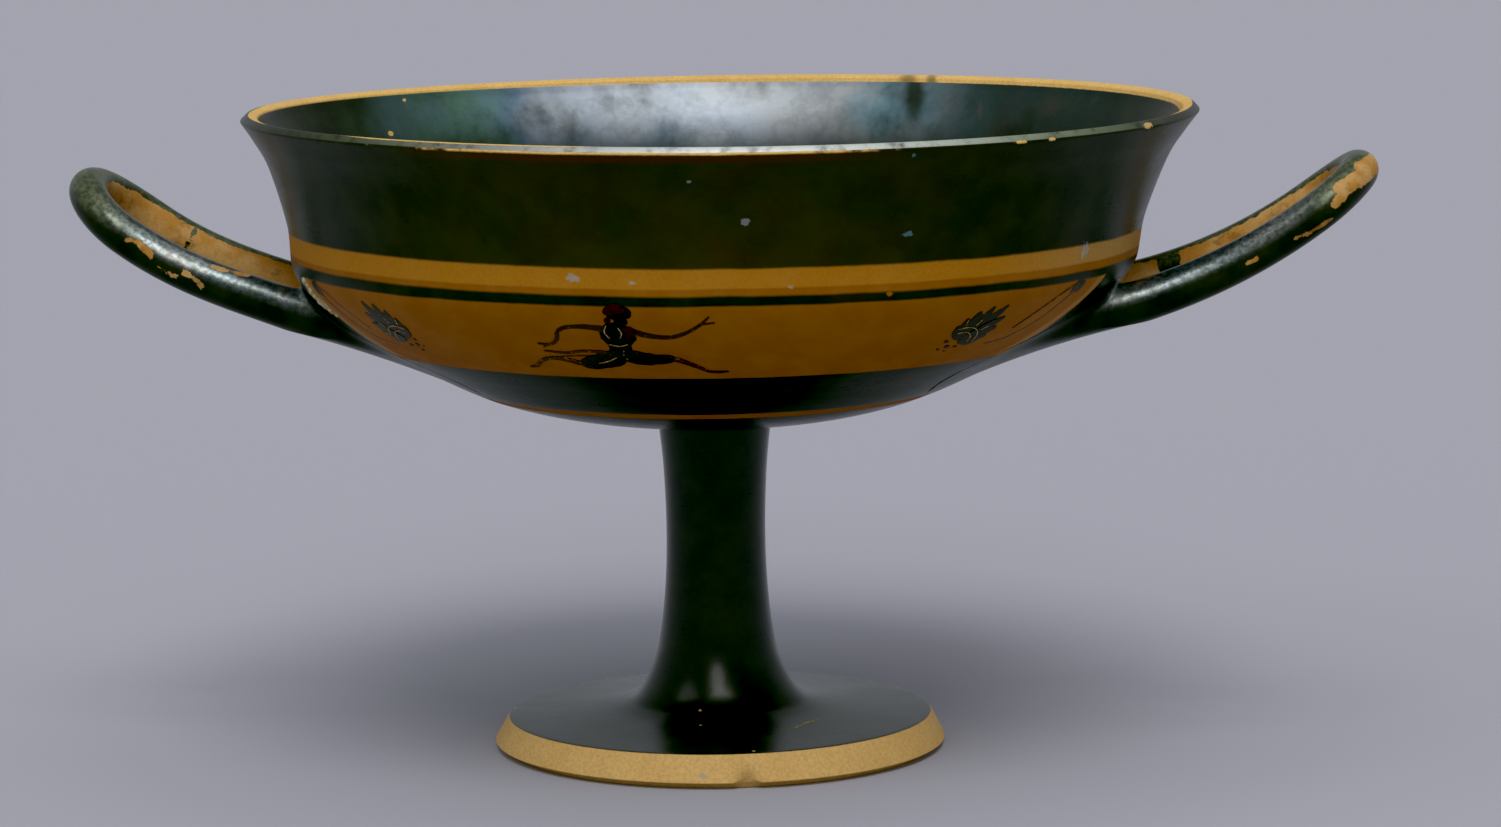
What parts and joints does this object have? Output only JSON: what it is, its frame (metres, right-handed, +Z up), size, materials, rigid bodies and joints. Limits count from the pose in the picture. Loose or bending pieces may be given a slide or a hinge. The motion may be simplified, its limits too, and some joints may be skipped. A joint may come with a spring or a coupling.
{
  "type": "kylix cup",
  "caption": "Ancient Greek drinking cup of fired clay: shallow bowl with flared lip on a tall stem and disc foot, with two upswept loop handles.",
  "frame": {"origin": "middle of the foot, on the ground that the cup stands on", "axes": "+Z up through the stem, X along the two handles, -Y towards the side with the painted figure"},
  "size_m": [0.2885, 0.2098, 0.1429],
  "materials": {
    "slip": "glossy black slip, thin and olive where worn, over orange fired clay",
    "clay": "orange fired clay, lightly burnished, left bare in bands, on the foot's edge and inside the handles",
    "figures": "thin matt black slip painting on the clay, with dark red and scratched lines",
    "added_red": "matt dark red pigment",
    "filler": "chalky cream filler of an old repair at one handle root"
  },
  "bodies": {
    "root": {"kylix_cup": "slip"}
  },
  "joints": []
}
